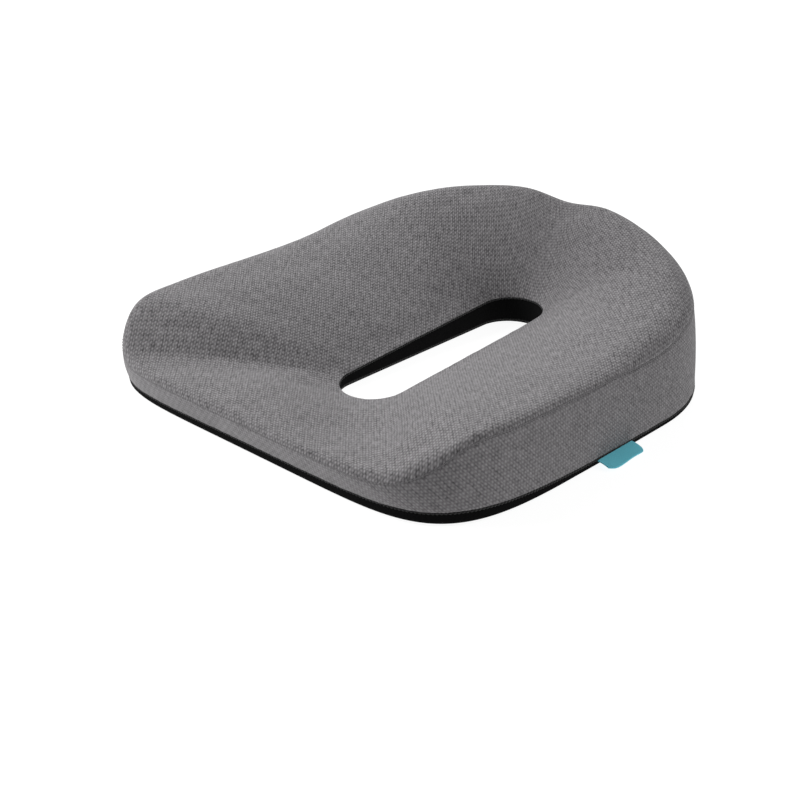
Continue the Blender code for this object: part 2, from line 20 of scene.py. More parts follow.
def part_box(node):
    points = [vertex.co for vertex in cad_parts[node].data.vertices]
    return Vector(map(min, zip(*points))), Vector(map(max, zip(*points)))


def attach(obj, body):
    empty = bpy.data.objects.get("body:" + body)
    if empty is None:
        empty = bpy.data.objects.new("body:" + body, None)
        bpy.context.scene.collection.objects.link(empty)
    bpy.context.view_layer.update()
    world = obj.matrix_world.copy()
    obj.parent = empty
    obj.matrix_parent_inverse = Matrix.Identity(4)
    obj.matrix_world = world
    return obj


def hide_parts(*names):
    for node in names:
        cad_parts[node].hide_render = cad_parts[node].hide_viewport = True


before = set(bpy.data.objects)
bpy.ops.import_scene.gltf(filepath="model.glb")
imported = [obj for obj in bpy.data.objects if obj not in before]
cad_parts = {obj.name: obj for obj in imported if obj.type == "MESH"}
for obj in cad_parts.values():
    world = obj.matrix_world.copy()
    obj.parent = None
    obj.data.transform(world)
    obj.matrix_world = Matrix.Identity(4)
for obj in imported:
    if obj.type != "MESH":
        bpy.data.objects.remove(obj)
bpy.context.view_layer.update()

# ---------------------------------------------------------------- sizes of the cushion
HALF_WIDTH = 0.225
HALF_DEPTH = 0.226
WIDEST_Y = 0.058
FRONT_SQUARENESS = 6.0
BACK_SQUARENESS = 2.33
SEAM_INSET = (-0.0035, 0.0065, 0.001)
BASE_INSET = (0.007, -0.003, 0.005)

SLOT_HALF_WIDTH = 0.0325
SLOT_FRONT_Y = -0.100
SLOT_BACK_Y = 0.156
SLOT_SIDE_ANGLES = (40.0, 120.0)
RIM_HEIGHT_FRONT = 0.0125
RIM_HEIGHT_BACK = 0.0285

UPPER_SEAM_HEIGHT = ((0, 0.0325), (20, 0.0325), (30, 0.0335), (36, 0.046), (42, 0.0645), (50, 0.0665),
                     (75, 0.066), (90, 0.065), (105, 0.076), (120, 0.080), (140, 0.079), (180, 0.080))
CROWN_HEIGHT = ((0, 0.0385), (20, 0.0385), (30, 0.0405), (36, 0.056), (42, 0.0705), (50, 0.0715),
                (75, 0.073), (90, 0.079), (105, 0.089), (120, 0.1055), (140, 0.118), (160, 0.1235),
                (180, 0.119))
SHOULDER_WIDTH = ((0, 0.010), (30, 0.0095), (45, 0.0095), (60, 0.013), (75, 0.020), (90, 0.024),
                  (105, 0.028), (120, 0.029), (140, 0.025), (160, 0.018), (180, 0.015))
BASE_SEAM_RIGHT = ((0, 0.0085), (30, 0.0095), (42, 0.0105), (55, 0.008), (66, 0.006), (90, 0.005),
                   (180, 0.005))
BASE_SEAM_LEFT = ((0, 0.0085), (20, 0.0075), (38, 0.006), (60, 0.005), (180, 0.005))
SLOPE_POWER = 1.45
SHOULDER_SHARE = 0.35
BASE_EDGE_RADIUS = 0.004
BASE_UPRIGHT = 0.0025
SLOT_FOOT_RADIUS = 0.003
ROUND_SHARE = 0.2
UPRIGHT_FROM = 0.94

KNIT_THICKNESS = 0.0025
LINING_THICKNESS = 0.0015
BASE_THICKNESS = 0.0020
FOAM_DEPTH = 0.0050            # the foam lies this far below the cover's outer face
JOIN_ANGLE = 138.0
ZIP_HEIGHT = 0.042
TAPE_HALF_WIDTH = 0.0060
TAPE_RECESS = 0.0006
TAPE_END_GAP = 0.0034          # from a join seam to the tapes' ends
COIL_WIDTH = 0.0024
COIL_HEIGHT = 0.0020
COIL_WIRE = 0.00033            # radius of the coil's wire
COIL_PITCH = 0.0013
STOP_LENGTH = 0.0030
FIT_GAP = 0.0003

LABEL_WIDTH = 0.048
LABEL_REACH = 0.0165
LABEL_LAYER = 0.00045          # thickness of the ribbon, and of the gap between its two layers
LABEL_DROOP = 0.0024
LABEL_WAVE = 0.0007

# ---------------------------------------------------------------- fineness of the meshes
STATIONS = 600                 # all round the ring
TOP_ROWS = 72
BAND_ROWS = 40
STRIP_ROWS = 24
WALL_ROWS = 18
BASE_ROWS = 60
THREAD_SIDES = 8
STEPS_PER_STITCH = 6
COIL_SIDES = 6
STEPS_PER_COIL_TURN = 12
NORMAL_STEP_ANGLE = 0.4
NORMAL_STEP_SECTION = 0.002

# ---------------------------------------------------------------- cloth
CLOTH_STATIONS = 220
CLOTH_TOP_ROWS = 30
CLOTH_BAND_ROWS = 12
CLOTH_PRESSURE = 4.0
CLOTH_FRAMES = 20
CLOTH_SMOOTHING = 3
CLOTH_CAP = 0.0030             # the cover swells by this at most
CLOTH_INSET = 0.0014           # and starts this much smaller, so it ends at its real size
CLOTH_SLACK = 0.0004           # where it hardly swells, it stays this far inside its real size

# ---------------------------------------------------------------- sewing
SEAM_TRIM = 0.0007             # from a seam's middle to the panel's edge
TOP_ROLL = (0.0005, 0.0018)    # depth and width of the fabric's turn into the upper seam
BAND_ROLL = (0.0010, 0.0024)
FOOT_ROLL = (0.0006, 0.0025)
STRIP_ROLL = (0.0008, 0.0030)
RIM_ROLL = (0.0008, 0.0030)
LINING_ROLL = (0.0003, 0.0015)
RIM_WRAP = 0.0022              # the knit wraps this far round the rim, into the slot
SEAM_PULL = ((0, 0.0), (25, 0.1), (34, 0.5), (42, 0.8), (60, 1.0), (180, 1.0))   # how hard it pulls in
PUCKER_DEPTH = 0.00035
PUCKER_SIZE = 0.007
TOP_UNEVENNESS = ((0.0007, 0.055, 1.3), (0.0003, 0.020, 8.1))   # height, size and seed of each layer
BAND_UNEVENNESS = ((0.0006, 0.045, 5.9),)
STRIP_UNEVENNESS = ((0.0002, 0.020, 2.2),)
TOP_EASE = 0.012               # the cover's swell and unevenness fade out over this much beside a seam
BAND_EASE = 0.010
ZIP_EASE_ANGLE = 8.0
STITCH_PITCH = 0.0034
STITCH_RISE = 0.4              # how far each stitch rises, as a share of the thread's radius
STITCH_NECK = 0.62             # the thread's radius where it goes in, as a share of its radius
JOIN_STITCHES = 20
JOIN_MARGIN = 0.03             # the join seams stop this share of the band short of its edges
JOIN_RADIUS = 0.0011
JOIN_RISE = 0.0004
JOIN_SINK = 0.0009
STITCH_SINK = 0.0008           # how far the ring seams' threads lie below the cover's face

TURN = 2.0 * math.pi

lining_low, lining_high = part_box("slot_lining")
ORIGIN = Vector(((lining_low.x + lining_high.x) / 2.0,
                 (lining_low.y + lining_high.y - SLOT_FRONT_Y - SLOT_BACK_Y) / 2.0, 0.0))


# ---------------------------------------------------------------- outlines and heights
def value_at(table, angle):
    """Smooth value at each angle, level at both ends of the table."""
    knots, values = np.array(table, float).T
    slopes = np.zeros(len(knots))
    slopes[1:-1] = (values[2:] - values[:-2]) / (knots[2:] - knots[:-2])
    folded = np.abs((angle + 180.0) % 360.0 - 180.0)
    i = np.clip(np.searchsorted(knots, folded, side="right") - 1, 0, len(knots) - 2)
    span = knots[i + 1] - knots[i]
    t = (folded - knots[i]) / span
    return (values[i] * (2 * t ** 3 - 3 * t ** 2 + 1) + values[i + 1] * (3 * t ** 2 - 2 * t ** 3)
            + slopes[i] * span * (t ** 3 - 2 * t ** 2 + t) + slopes[i + 1] * span * (t ** 3 - t ** 2))


def outline(angle, inset=(0.0, 0.0, 0.0)):
    """Points (..., 2) of the plan outline in the directions of the ring angles."""
    across, along = np.sin(np.radians(angle)), -np.cos(np.radians(angle))
    front, side, back = inset
    ahead = along < 0.0
    power = np.where(ahead, FRONT_SQUARENESS, BACK_SQUARENESS)
    reach = np.where(ahead, HALF_DEPTH + WIDEST_Y - front, HALF_DEPTH - WIDEST_Y - back)
    sizes = np.abs(across / (HALF_WIDTH - side)) ** power + np.abs(along / reach) ** power
    radius = sizes ** (-1.0 / power)
    return np.stack([radius * across, WIDEST_Y + radius * along], axis=-1)


def slot_outline(angle):
    """Points (..., 2) of the slot's outline that face the ring angles."""
    signed = (angle + 180.0) % 360.0 - 180.0
    folded, side = np.abs(signed), np.where(signed < 0.0, -1.0, 1.0)
    first, second = SLOT_SIDE_ANGLES
    front_centre, back_centre = SLOT_FRONT_Y + SLOT_HALF_WIDTH, SLOT_BACK_Y - SLOT_HALF_WIDTH
    front_turn = np.radians(90.0 * np.clip(folded / first, 0.0, 1.0))
    back_turn = np.radians(90.0 * np.clip((180.0 - folded) / (180.0 - second), 0.0, 1.0))
    share = np.clip((folded - first) / (second - first), 0.0, 1.0)
    middle = front_centre + (back_centre - front_centre) * share
    x = SLOT_HALF_WIDTH * np.where(folded < first, np.sin(front_turn),
                                   np.where(folded > second, np.sin(back_turn), 1.0))
    y = np.where(folded < first, front_centre - SLOT_HALF_WIDTH * np.cos(front_turn),
                 np.where(folded > second, back_centre + SLOT_HALF_WIDTH * np.cos(back_turn), middle))
    return np.stack([side * x, y], axis=-1)


def rim_height(angle):
    share = (slot_outline(angle)[..., 1] - SLOT_FRONT_Y) / (SLOT_BACK_Y - SLOT_FRONT_Y)
    return RIM_HEIGHT_FRONT + (RIM_HEIGHT_BACK - RIM_HEIGHT_FRONT) * share


def base_seam_height(angle):
    on_right = (angle + 180.0) % 360.0 >= 180.0
    return np.where(on_right, value_at(BASE_SEAM_RIGHT, angle), value_at(BASE_SEAM_LEFT, angle))


def raised(plan, height):
    """Plan points (..., 2) and heights as points (..., 3)."""
    return np.concatenate([plan, height[..., None]], axis=-1)


def unit(vectors):
    return vectors / np.linalg.norm(vectors, axis=-1, keepdims=True)


# ---------------------------------------------------------------- the ring's section
def base_point(angle, share):
    inner, outer = slot_outline(angle), outline(angle, BASE_INSET)
    across = unit(outer - inner)
    head = base_seam_height(angle)
    radius = np.minimum(BASE_EDGE_RADIUS, head - BASE_UPRIGHT)
    foot_turn = np.radians(90.0 * np.clip(share / ROUND_SHARE, 0.0, 1.0))
    edge_share = (share - 1.0 + ROUND_SHARE) / (UPRIGHT_FROM - 1.0 + ROUND_SHARE)
    edge_turn = np.radians(90.0 * np.clip(edge_share, 0.0, 1.0))
    flat_share = np.clip((share - ROUND_SHARE) / (1.0 - 2.0 * ROUND_SHARE), 0.0, 1.0)[..., None]
    inner_edge = inner + across * (SLOT_FOOT_RADIUS * (1.0 - np.cos(foot_turn)))[..., None]
    outer_edge = outer - across * (radius * (1.0 - np.sin(edge_turn)))[..., None]
    flat = ((inner + across * SLOT_FOOT_RADIUS) * (1.0 - flat_share)
            + (outer - across * radius[..., None]) * flat_share)
    plan = np.where((share < ROUND_SHARE)[..., None], inner_edge,
                    np.where((share > 1.0 - ROUND_SHARE)[..., None], outer_edge, flat))
    rise = radius + (head - radius) * np.clip((share - UPRIGHT_FROM) / (1.0 - UPRIGHT_FROM), 0.0, 1.0)
    height = np.where(share < ROUND_SHARE, SLOT_FOOT_RADIUS * (1.0 - np.sin(foot_turn)),
                      np.where(share > UPRIGHT_FROM, rise, radius * (1.0 - np.cos(edge_turn))))
    return raised(plan, height)


def band_point(angle, share):
    low, middle, high = outline(angle, BASE_INSET), outline(angle), outline(angle, SEAM_INSET)
    t = share[..., None]
    plan = low * (1.0 - t) * (1.0 - 2.0 * t) + middle * 4.0 * t * (1.0 - t) + high * t * (2.0 * t - 1.0)
    foot = base_seam_height(angle)
    return raised(plan, foot + (value_at(UPPER_SEAM_HEIGHT, angle) - foot) * share)


def top_point(angle, share):
    inner, outer = slot_outline(angle), outline(angle, SEAM_INSET)
    seam, crown = value_at(UPPER_SEAM_HEIGHT, angle), value_at(CROWN_HEIGHT, angle)
    ridge = outer - unit(outer - inner) * value_at(SHOULDER_WIDTH, angle)[..., None]
    turn = np.radians(90.0 * np.clip(1.0 - share / SHOULDER_SHARE, 0.0, 1.0))
    climb = np.clip(1.0 - (share - SHOULDER_SHARE) / (1.0 - SHOULDER_SHARE), 0.0, 1.0)
    rim = rim_height(angle)
    sine, slope = np.sin(turn)[..., None], climb[..., None]
    plan = np.where((share < SHOULDER_SHARE)[..., None], ridge * (1.0 - sine) + outer * sine,
                    inner * (1.0 - slope) + ridge * slope)
    height = np.where(share < SHOULDER_SHARE, seam + (crown - seam) * np.cos(turn),
                      rim + (crown - rim) * (1.0 - (1.0 - climb) ** SLOPE_POWER))
    return raised(plan, height)


def wall_point(angle, share):
    rim = rim_height(angle)
    return raised(slot_outline(angle), rim + (SLOT_FOOT_RADIUS - rim) * share)


def surface(angle, place):
    """Points (..., 3) of the finished outer surface."""
    angle, place = np.broadcast_arrays(np.asarray(angle, float), np.asarray(place, float) % 4.0)
    points = np.empty(place.shape + (3,))
    for zone, point in enumerate((base_point, band_point, top_point, wall_point)):
        here = np.floor(place) == zone
        points[here] = point(angle[here], place[here] - zone)
    return points


def outward(angle, place):
    """Unit normals (..., 3) that point out of the cushion."""
    round_ring = surface(angle + NORMAL_STEP_ANGLE, place) - surface(angle - NORMAL_STEP_ANGLE, place)
    up_section = surface(angle, place + NORMAL_STEP_SECTION) - surface(angle, place - NORMAL_STEP_SECTION)
    return unit(np.cross(round_ring, up_section))


def moved(angle, place, distance):
    """Places on the section that lie a distance along it from another place."""
    step = math.copysign(NORMAL_STEP_SECTION, distance)
    travelled = np.linalg.norm(surface(angle, place + step) - surface(angle, place), axis=-1)
    return place + distance * NORMAL_STEP_SECTION / travelled


# ---------------------------------------------------------------- making objects
def mesh_object(name, points, faces, finish, weave=None):
    """Object from points and quads, shaded smooth, with its weave coordinates."""
    mesh = bpy.data.meshes.new(name)
    mesh.from_pydata((np.asarray(points) + np.array(ORIGIN)).tolist(), [], faces)
    mesh.validate()
    mesh.shade_smooth()
    mesh.set_sharp_from_angle(angle=math.radians(50.0))
    mesh.materials.append(finish)
    if weave is not None:
        flat = np.concatenate([weave, np.zeros(weave.shape[:-1] + (3 - weave.shape[-1],))], axis=-1)
        stored = mesh.attributes.new("weave", "FLOAT_VECTOR", "POINT")
        stored.data.foreach_set("vector", flat.reshape(-1).astype(np.float32))
    made = bpy.data.objects.new(name, mesh)
    bpy.context.collection.objects.link(made)
    return made


def grid_faces(stations, count, closed):
    """Quads of a tube of rings: each station has a closed loop of count points."""
    faces = []
    for i in range(stations if closed else stations - 1):
        after = (i + 1) % stations
        for j in range(count):
            k = (j + 1) % count
            faces.append((i * count + j, after * count + j, after * count + k, i * count + k))
    if not closed:
        faces.append(tuple(range(count)))
        faces.append(tuple((stations - 1) * count + j for j in reversed(range(count))))
    return faces


def tube(name, finish, middle, first, second, radius, sides, closed):
    """Closed tube along a line of points; first and second span its cross-section at each point."""
    turns = (np.arange(sides) * TURN / sides)[None, :, None]
    reach = np.broadcast_to(radius, len(middle))[:, None, None]
    loops = middle[:, None] + reach * (np.cos(turns) * first[:, None] + np.sin(turns) * second[:, None])
    return mesh_object(name, loops.reshape(-1, 3), grid_faces(len(middle), sides, closed), finish)


def finished(obj, body, slot, *nodes):
    """Put the piece on its body and hide the CAD nodes it stands for. The slot argument is not used."""
    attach(obj, body)
    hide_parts(*nodes)
    return obj


def ring_angles(span=None):
    if span is None:
        return np.arange(STATIONS) * 360.0 / STATIONS
    start, end = span
    return np.linspace(start, end, max(2, round((end - start) * STATIONS / 360.0)))


# ---------------------------------------------------------------- materials
class Nodes:
    """Short ways to add shader nodes and join them."""

    def __init__(self, name, roughness, metallic=0.0, sheen=0.0, specular=0.5):
        self.material = bpy.data.materials.new(name)
        self.material.use_nodes = True
        self.tree = self.material.node_tree
        self.shader = self.tree.nodes["Principled BSDF"]
        self.shader.inputs["Roughness"].default_value = roughness
        self.shader.inputs["Metallic"].default_value = metallic
        self.shader.inputs["Sheen Weight"].default_value = sheen
        self.shader.inputs["Sheen Roughness"].default_value = 0.6
        self.shader.inputs["Specular IOR Level"].default_value = specular

    def fill(self, socket, value):
        if isinstance(value, bpy.types.NodeSocket):
            self.tree.links.new(value, socket)
        else:
            socket.default_value = value

    def math(self, operation, *values):
        node = self.tree.nodes.new("ShaderNodeMath")
        node.operation = operation
        for socket, value in zip(node.inputs, values):
            self.fill(socket, value)
        return node.outputs[0]

    def weave(self):
        """The two weave coordinates, in metres."""
        source = self.tree.nodes.new("ShaderNodeAttribute")
        source.attribute_name = "weave"
        split = self.tree.nodes.new("ShaderNodeSeparateXYZ")
        self.tree.links.new(source.outputs["Vector"], split.inputs[0])
        return source.outputs["Vector"], split.outputs[0], split.outputs[1]

    def position(self):
        """Place on the object, in metres."""
        source = self.tree.nodes.new("ShaderNodeTexCoord")
        return source.outputs["Object"]

    def combine(self, first, second):
        node = self.tree.nodes.new("ShaderNodeCombineXYZ")
        self.fill(node.inputs[0], first)
        self.fill(node.inputs[1], second)
        return node.outputs[0]

    def noise(self, vector, scale, detail=2.0):
        node = self.tree.nodes.new("ShaderNodeTexNoise")
        node.inputs["Scale"].default_value = scale
        node.inputs["Detail"].default_value = detail
        self.tree.links.new(vector, node.inputs["Vector"])
        return node.outputs["Fac"]

    def mix(self, factor, dark, light):
        node = self.tree.nodes.new("ShaderNodeMix")
        node.data_type = "RGBA"
        self.fill(node.inputs["Factor"], factor)
        for socket, colour in ((node.inputs["A"], dark), (node.inputs["B"], light)):
            self.fill(socket, colour if isinstance(colour, bpy.types.NodeSocket) else (*colour, 1.0))
        return node.outputs["Result"]

    def relief(self, height, distance, strength=1.0):
        bump = self.tree.nodes.new("ShaderNodeBump")
        bump.inputs["Distance"].default_value = distance
        bump.inputs["Strength"].default_value = strength
        self.tree.links.new(height, bump.inputs["Height"])
        self.tree.links.new(bump.outputs[0], self.shader.inputs["Normal"])

    def colour(self, value):
        self.fill(self.shader.inputs["Base Color"], value)

    def roughness(self, value):
        self.fill(self.shader.inputs["Roughness"], value)


KNIT_COLUMN = 0.0023           # between the knit's columns of stitches
KNIT_STITCH = 0.0042           # between the stitches of one column
KNIT_COURSE = 0.0052           # between the faint cross lines of the knit
COLUMN_SHARE = 0.16            # how much each of these lightens or darkens the knit
MESH_SHARE = -0.27
COURSE_SHARE = 0.10
STREAK_SHARE = 1.1
YARN_SHARE = 0.40
PATCH_SHARE = 0.14
KNIT_LEVEL = 0.43
KNIT_RELIEF = 0.0010
SIDE_CONTRAST = 0.7            # the side band's knit looks calmer than the top's
KNIT_DARK = (0.058, 0.055, 0.058)
KNIT_LIGHT = (0.272, 0.262, 0.270)


def knit_material(name, contrast):
    """Melange spacer knit: diagonal columns of staggered stitches over small dark meshes."""
    nodes = Nodes(name, 0.9, sheen=0.12, specular=0.2)
    vector, u, v = nodes.weave()
    drift = nodes.math("MULTIPLY_ADD", nodes.noise(vector, 230.0), 0.0018, -0.0009)
    across = nodes.math("MULTIPLY", nodes.math("ADD", nodes.math("ADD", u, drift), v), math.sqrt(0.5))
    along = nodes.math("MULTIPLY", nodes.math("SUBTRACT", nodes.math("ADD", u, drift), v), math.sqrt(0.5))
    column_half = nodes.math("MULTIPLY", across, 0.5 * TURN / KNIT_COLUMN)
    stitch_half = nodes.math("MULTIPLY", along, TURN / KNIT_STITCH)
    mesh = nodes.math("MULTIPLY", nodes.math("COSINE", column_half), nodes.math("COSINE", stitch_half))
    column = nodes.math("COSINE", nodes.math("MULTIPLY", across, TURN / KNIT_COLUMN))
    course = nodes.math("COSINE", nodes.math("MULTIPLY", along, TURN / KNIT_COURSE))
    streak = nodes.noise(nodes.combine(across, nodes.math("MULTIPLY", along, 0.2)), 430.0, 1.0)
    yarn = nodes.noise(vector, 900.0, 1.0)
    patches = nodes.noise(vector, 18.0)
    stitch = nodes.math("MULTIPLY_ADD", column, COLUMN_SHARE, nodes.math("MULTIPLY", mesh, MESH_SHARE))
    stitch = nodes.math("MULTIPLY_ADD", course, COURSE_SHARE, stitch)
    level = nodes.math("ADD", stitch, nodes.math("MULTIPLY_ADD", streak, STREAK_SHARE, -0.5 * STREAK_SHARE))
    level = nodes.math("ADD", level, nodes.math("MULTIPLY_ADD", yarn, YARN_SHARE, -0.5 * YARN_SHARE))
    ground = nodes.math("MULTIPLY_ADD", patches, PATCH_SHARE, KNIT_LEVEL)
    level = nodes.math("MULTIPLY_ADD", level, contrast, ground)
    nodes.colour(nodes.mix(level, KNIT_DARK, KNIT_LIGHT))
    nodes.roughness(nodes.math("MULTIPLY_ADD", stitch, -0.1, 0.92))
    nodes.relief(nodes.math("MULTIPLY_ADD", yarn, 0.2, stitch), KNIT_RELIEF, 0.7 * contrast)
    return nodes.material


def black_material(name, pitch, lift):
    """Matte black woven fabric: a plain weave with a little lint."""
    nodes = Nodes(name, 1.0, specular=0.05)
    vector = nodes.position()
    split = nodes.tree.nodes.new("ShaderNodeSeparateXYZ")
    nodes.tree.links.new(vector, split.inputs[0])
    waves = [nodes.math("SINE", nodes.math("MULTIPLY", axis, TURN / pitch)) for axis in split.outputs]
    crossings = [nodes.math("MULTIPLY", waves[i], waves[(i + 1) % 3]) for i in range(3)]
    weave = nodes.math("ADD", nodes.math("ADD", crossings[0], crossings[1]), crossings[2])
    lint = nodes.noise(vector, 900.0, 3.0)
    shade = nodes.math("MULTIPLY_ADD", weave, 0.12, lint)
    nodes.colour(nodes.mix(shade, (0.0022, 0.0022, 0.0022), (0.0060 * lift, 0.0060 * lift, 0.0062 * lift)))
    nodes.relief(nodes.math("MULTIPLY_ADD", lint, 0.5, weave), 0.0002, 0.5)
    return nodes.material


def foam_material():
    """Open-cell foam: pale, with fine pores."""
    nodes = Nodes("memory_foam", 0.95, specular=0.2)
    vector = nodes.position()
    pores = nodes.noise(vector, 1200.0, 3.0)
    patches = nodes.noise(vector, 9.0)
    shade = nodes.math("MULTIPLY_ADD", patches, 0.4, nodes.math("MULTIPLY", pores, 0.6))
    nodes.colour(nodes.mix(shade, (0.66, 0.60, 0.47), (0.86, 0.83, 0.74)))
    nodes.relief(pores, 0.0006, 0.8)
    return nodes.material


def thread_material(name, dark, light):
    """Twisted sewing thread."""
    nodes = Nodes(name, 0.75, sheen=0.1, specular=0.3)
    vector = nodes.position()
    fibres = nodes.noise(vector, 1500.0, 2.0)
    nodes.colour(nodes.mix(fibres, dark, light))
    nodes.relief(fibres, 0.0002, 0.6)
    return nodes.material


def label_material():
    """Teal ribbon: fine ribs across its width."""
    nodes = Nodes("teal_label", 0.7, sheen=0.1, specular=0.3)
    vector, u, v = nodes.weave()
    ribs = nodes.math("SINE", nodes.math("MULTIPLY", u, TURN / 0.0011))
    threads = nodes.math("SINE", nodes.math("MULTIPLY", v, TURN / 0.0007))
    weave = nodes.math("MULTIPLY_ADD", threads, 0.4, ribs)
    fibres = nodes.noise(vector, 1300.0, 2.0)
    shade = nodes.math("MULTIPLY_ADD", weave, 0.10, fibres)
    nodes.colour(nodes.mix(shade, (0.110, 0.500, 0.620), (0.180, 0.740, 0.880)))
    nodes.relief(nodes.math("MULTIPLY_ADD", fibres, 0.4, weave), 0.00015, 0.6)
    return nodes.material


def tape_material():
    """Woven zip tape with ribs along the zip."""
    nodes = Nodes("zip_tape", 0.85, sheen=0.05, specular=0.2)
    vector = nodes.position()
    split = nodes.tree.nodes.new("ShaderNodeSeparateXYZ")
    nodes.tree.links.new(vector, split.inputs[0])
    ribs = nodes.math("SINE", nodes.math("MULTIPLY", split.outputs[2], TURN / 0.0009))
    chevrons = nodes.math("SINE", nodes.math("MULTIPLY_ADD", ribs, 1.2,
                                             nodes.math("MULTIPLY", split.outputs[0], TURN / 0.0014)))
    shade = nodes.math("MULTIPLY_ADD", chevrons, 0.2, nodes.noise(vector, 800.0))
    nodes.colour(nodes.mix(shade, (0.008, 0.008, 0.009), (0.024, 0.024, 0.026)))
    nodes.relief(chevrons, 0.0002, 0.6)
    return nodes.material


def coil_material():
    """Nylon of the zip's coil."""
    nodes = Nodes("zip_coil", 0.4, specular=0.5)
    vector = nodes.position()
    streaks = nodes.noise(vector, 900.0)
    nodes.colour(nodes.mix(streaks, (0.012, 0.012, 0.013), (0.026, 0.026, 0.028)))
    nodes.roughness(nodes.math("MULTIPLY_ADD", streaks, 0.2, 0.3))
    return nodes.material


def metal_material():
    """Dark plated metal, rubbed paler here and there."""
    nodes = Nodes("zip_metal", 0.35, metallic=0.9)
    vector = nodes.position()
    grain = nodes.noise(vector, 350.0, 4.0)
    scratches = nodes.noise(vector, 2500.0, 2.0)
    nodes.colour(nodes.mix(grain, (0.035, 0.035, 0.037), (0.11, 0.11, 0.115)))
    nodes.roughness(nodes.math("MULTIPLY_ADD", grain, 0.3, 0.22))
    nodes.relief(scratches, 0.00005, 0.4)
    return nodes.material


# ---------------------------------------------------------------- cloth simulation
def simulated_swell():
    """Outward swell of the cover, from a cloth simulation of the top and the side band.

    The band and the top hang together between the base seam, the upper seam and the slot's
    rim, which are held.  Pressure from inside fills the panels between them.
    Returns a table of swell with a row for each cloth station and a column for each place.
    """
    angles = np.arange(CLOTH_STATIONS) * 360.0 / CLOTH_STATIONS
    places = np.concatenate([np.linspace(1.0, 2.0, CLOTH_BAND_ROWS + 1)[:-1],
                             np.linspace(2.0, 3.0, CLOTH_TOP_ROWS + 1)])
    grid_angle, grid_place = np.meshgrid(angles, places, indexing="ij")
    normals = outward(grid_angle, np.clip(grid_place, 1.01, 2.99))
    rest = surface(grid_angle, np.clip(grid_place, 1.0, 2.9999))
    count = len(places)
    faces = []
    for i in range(CLOTH_STATIONS):
        after = (i + 1) % CLOTH_STATIONS
        faces += [(i * count + j, after * count + j, after * count + j + 1, i * count + j + 1)
                  for j in range(count - 1)]
    mesh = bpy.data.meshes.new("cloth")
    mesh.from_pydata(rest.reshape(-1, 3).tolist(), [], faces)
    sheet = bpy.data.objects.new("cloth", mesh)
    bpy.context.collection.objects.link(sheet)
    held = sheet.vertex_groups.new(name="held")
    held_places = (0, CLOTH_BAND_ROWS, count - 1)
    held.add([i * count + j for i in range(CLOTH_STATIONS) for j in held_places], 1.0, "REPLACE")
    cloth = sheet.modifiers.new("cloth", "CLOTH")
    settings = cloth.settings
    settings.quality = 5
    settings.mass = 0.3
    settings.tension_stiffness = 12.0
    settings.compression_stiffness = 12.0
    settings.shear_stiffness = 5.0
    settings.bending_stiffness = 0.4
    settings.use_pressure = True
    settings.uniform_pressure_force = CLOTH_PRESSURE
    settings.effector_weights.gravity = 0.0
    settings.vertex_group_mass = "held"
    cloth.collision_settings.use_collision = False
    scene = bpy.context.scene
    for step in range(1, CLOTH_FRAMES + 1):
        scene.frame_set(step)
    shown = sheet.evaluated_get(bpy.context.evaluated_depsgraph_get())
    final = np.empty(len(mesh.vertices) * 3)
    shown.data.vertices.foreach_get("co", final)
    swell = ((final.reshape(rest.shape) - rest) * normals).sum(axis=-1)
    scene.frame_set(1)
    bpy.data.objects.remove(sheet, do_unlink=True)
    bpy.data.meshes.remove(mesh)
    swell = CLOTH_CAP * np.tanh(np.maximum(swell, 0.0) / CLOTH_CAP)
    for _ in range(CLOTH_SMOOTHING):
        swell = (np.roll(swell, 1, axis=0) + 2.0 * swell + np.roll(swell, -1, axis=0)) / 4.0
        swell[:, 1:-1] = (swell[:, :-2] + 2.0 * swell[:, 1:-1] + swell[:, 2:]) / 4.0
    return angles, places, swell


cloth_angles, cloth_places, cloth_swell = simulated_swell()


def swell_at(angle, place):
    """Swell at points of the ring, read between the cloth's own points."""
    column = np.interp(place, cloth_places, np.arange(len(cloth_places)))
    row = (angle % 360.0) * CLOTH_STATIONS / 360.0
    i, j = np.floor(row).astype(int), np.minimum(np.floor(column).astype(int), len(cloth_places) - 2)
    s, t = row - i, column - j
    after = (i + 1) % CLOTH_STATIONS
    i = i % CLOTH_STATIONS
    low = cloth_swell[i, j] * (1.0 - t) + cloth_swell[i, j + 1] * t
    high = cloth_swell[after, j] * (1.0 - t) + cloth_swell[after, j + 1] * t
    return low * (1.0 - s) + high * s


def settled(angle, place):
    """Outward offset of the swollen cover from its real size."""
    return np.maximum(swell_at(angle, place) - CLOTH_INSET, -CLOTH_SLACK)


FRONT_SWELLS = ((0.068, -0.172, 0.046, -0.0072),   # x, y, radius and height; below zero is a hollow
                (-0.036, -0.160, 0.026, 0.0026),
                (0.150, -0.176, 0.028, 0.0012))


def sat_in(points):
    """How far the front of the seat stands above or below its plain slope."""
    offset = np.zeros(points.shape[:-1])
    for x, y, radius, height in FRONT_SWELLS:
        gap = (points[..., 0] - x) ** 2 + (points[..., 1] - y) ** 2
        offset += height * np.exp(-gap / radius ** 2)
    return offset


def uneven(points, size, seed):
    """Smooth unevenness from -1 to 1 with bumps of the given size."""
    flat = points.reshape(-1, 3) / size + seed
    return np.array([noise.noise(Vector(point)) for point in flat]).reshape(points.shape[:-1])


def unevenness(points, layers):
    """Sum of layers of unevenness, each with its height, size and seed."""
    return sum(height * uneven(points, size, seed) for height, size, seed in layers)


# ---------------------------------------------------------------- sewn panels
def along_rows(points):
    """Distance along each station's row of points, from its first point."""
    steps = np.linalg.norm(np.diff(points, axis=1), axis=-1)
    return np.concatenate([np.zeros((len(points), 1)), np.cumsum(steps, axis=1)], axis=1)


